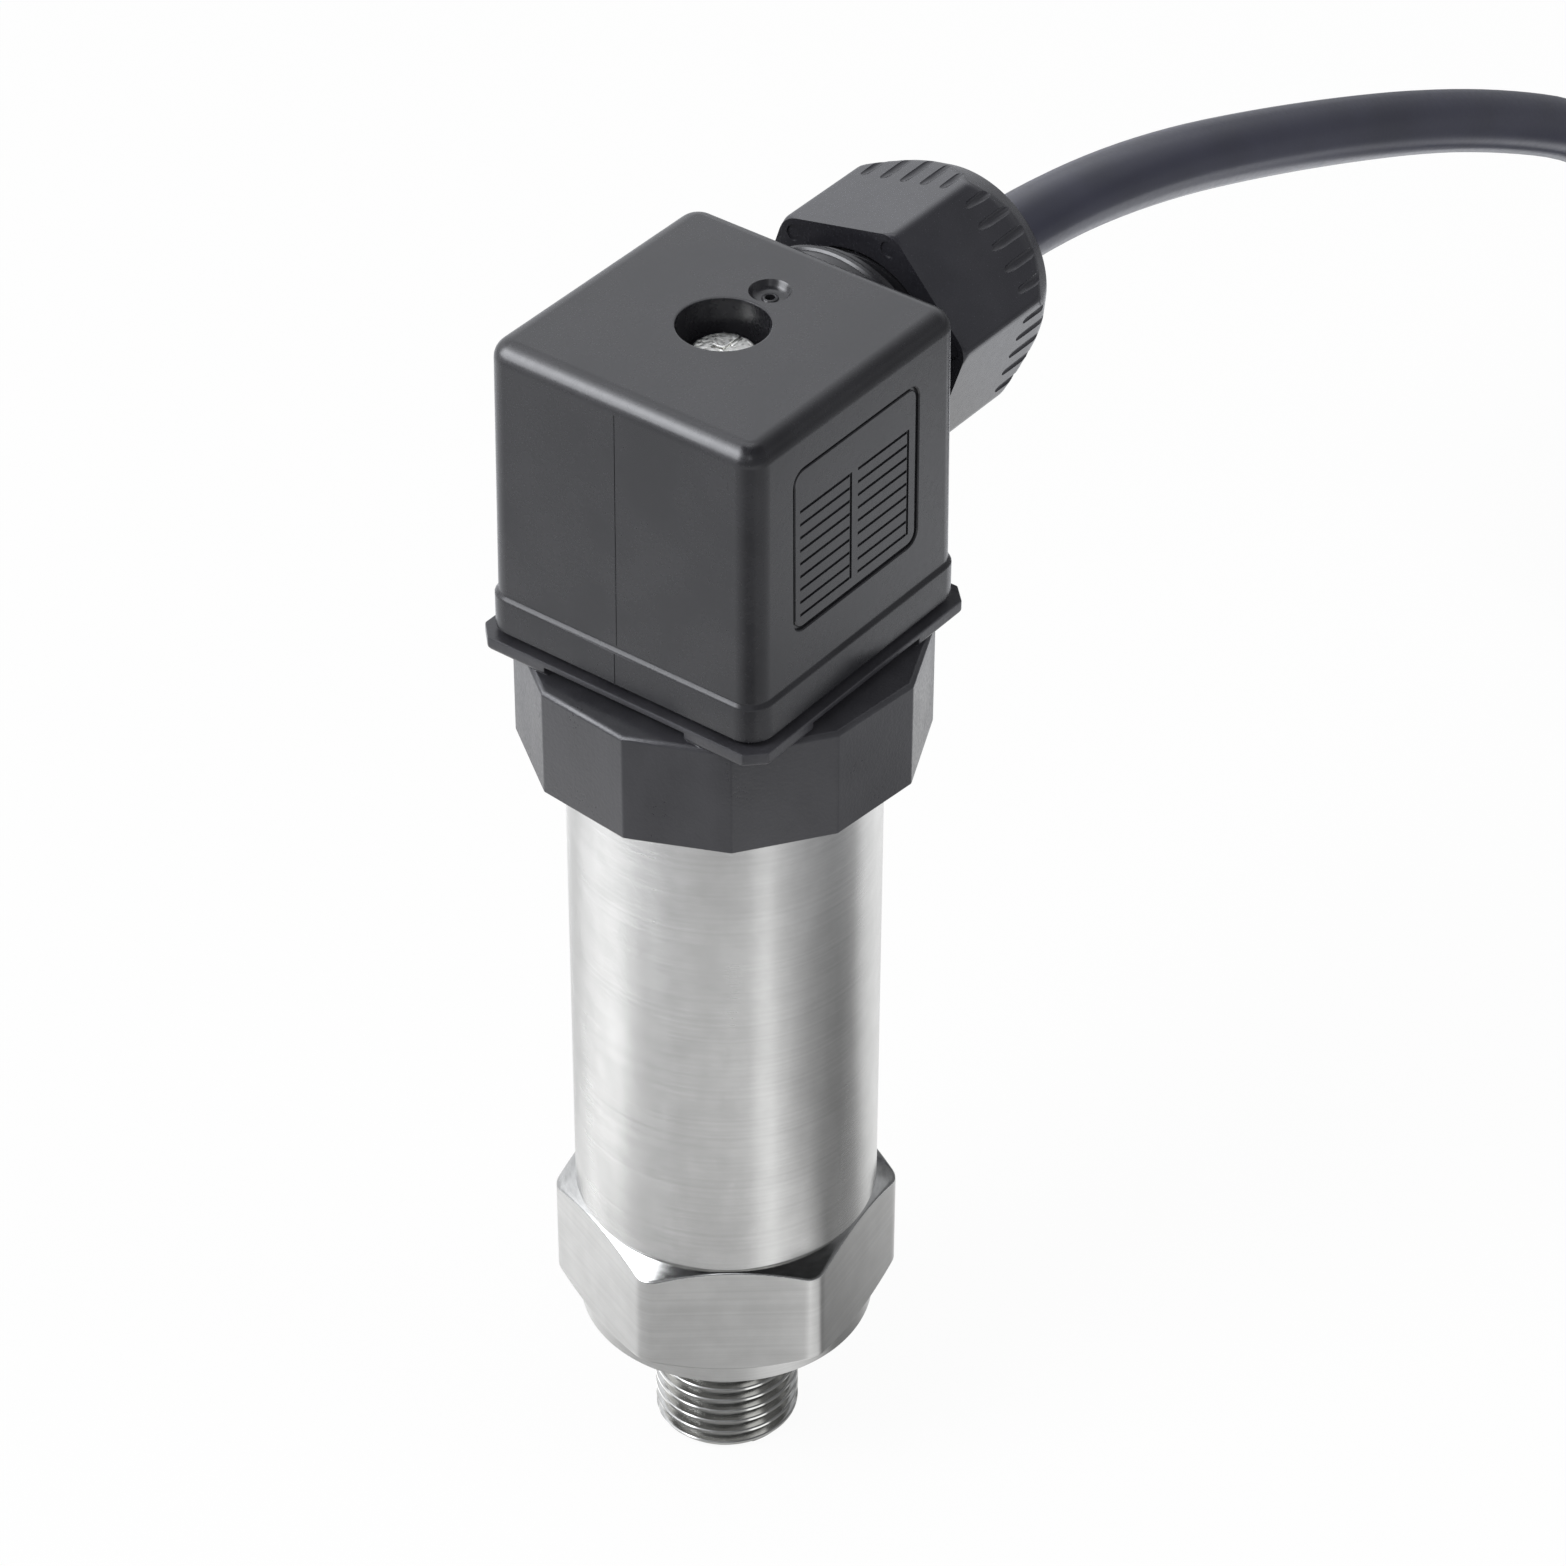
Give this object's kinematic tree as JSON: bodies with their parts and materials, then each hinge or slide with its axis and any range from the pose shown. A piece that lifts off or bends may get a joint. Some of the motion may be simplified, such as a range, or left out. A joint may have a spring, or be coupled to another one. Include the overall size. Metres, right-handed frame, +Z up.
{
  "type": "pressure transmitter",
  "caption": "Pressure transmitter: threaded steel fitting and tube, square screwed-on right-angle plug, hexagonal cable gland and a long lead tied in a hank, with stripped ends.",
  "frame": {"origin": "on the body's axis, in the flat sealing face under the wrench hexagon", "axes": "+Z up the body away from the process thread, +X the way the cable leaves the plug, -Y towards the ribbed panel"},
  "size_m": [0.2753, 0.06, 0.1193],
  "materials": {
    "turned_steel": "turned stainless steel",
    "tube_steel": "fine turned stainless steel",
    "base_plastic": "satin black glass-filled nylon",
    "cap_plastic": "fine grained black nylon",
    "gland_plastic": "satin black nylon",
    "flat_gasket": "black nitrile rubber",
    "seal_rubber": "black fluorocarbon rubber",
    "grommet_rubber": "soft black rubber",
    "cell_ceramic": "white alumina ceramic",
    "ring_brass": "turned brass",
    "holder_plastic": "natural nylon",
    "board_laminate": "green solder mask",
    "component_black": "moulded epoxy",
    "flex_film": "amber polyimide film",
    "lead_insulation": "thin silicone insulation",
    "blade_metal": "tin-plated brass",
    "clamp_metal": "nickel-plated brass",
    "screw_zinc": "bright zinc-plated steel",
    "washer_fibre": "black rubber",
    "slip_plastic": "natural acetal",
    "cable_jacket": "satin black-grey cable sheath",
    "tie_fabric": "hook-and-loop tape",
    "core_insulation": "coloured core insulation",
    "ferrule_metal": "tin-plated copper sleeves with plastic collars"
  },
  "bodies": {
    "sensor": {"process_fitting": "turned_steel", "sensor_o_ring": "seal_rubber", "sensor_cell": "cell_ceramic", "sensor_lock_ring": "ring_brass", "housing_tube": "tube_steel", "housing_o_ring": "seal_rubber", "board_holder": "holder_plastic", "circuit_board": "board_laminate", "board_components": "component_black", "sensor_flex_lead": "flex_film", "board_leads": "lead_insulation", "connector_base": "base_plastic", "screw_insert": "ring_brass", "base_gasket": "flat_gasket", "line_1_blade": "blade_metal", "line_2_blade": "blade_metal", "signal_blade": "blade_metal", "earth_blade": "blade_metal"},
    "plug": {"connector_cap": "cap_plastic", "terminal_insert": "cap_plastic", "line_1_clamp": "clamp_metal", "line_2_clamp": "clamp_metal", "signal_clamp": "clamp_metal", "earth_clamp": "clamp_metal", "terminal_screws": "screw_zinc", "inner_cores": "core_insulation", "gland_grommet": "grommet_rubber", "cable": "cable_jacket", "cable_coil": "cable_jacket", "cable_tie": "tie_fabric", "cable_tail": "cable_jacket", "bare_cores": "core_insulation", "core_ferrules": "ferrule_metal"},
    "screw_washer": {"screw_washer": "washer_fibre"},
    "centre_screw": {"centre_screw": "screw_zinc"},
    "gland_washer": {"gland_washer": "slip_plastic"},
    "gland_nut": {"gland_nut": "gland_plastic"}
  },
  "joints": [
    {"name": "plug_lift", "type": "slide", "parent": "sensor", "child": "plug", "axis": [0, 0, 1], "range_m": [0, 0.014]},
    {"name": "screw_rise", "type": "slide", "parent": "plug", "child": "screw_washer", "axis": [0, 0, 1], "range_m": [0, 0.004]},
    {"name": "screw_turn", "type": "hinge", "parent": "screw_washer", "child": "centre_screw", "pos_m": [0, 0, 0.0999], "axis": [0, 0, 1], "range_deg": [0, 2881]},
    {"name": "gland_back_off", "type": "slide", "parent": "plug", "child": "gland_washer", "axis": [1, 0, 0], "range_m": [0, 0.0074]},
    {"name": "gland_turn", "type": "hinge", "parent": "gland_washer", "child": "gland_nut", "pos_m": [0.025, 0, 0.09354], "axis": [1, 0, 0], "range_deg": [0, 1890]}
  ],
  "couplings": [
    {"joint": "screw_turn", "follows": "screw_rise", "rad_per_m": 12566},
    {"joint": "gland_turn", "follows": "gland_back_off", "rad_per_m": 4456.2}
  ]
}
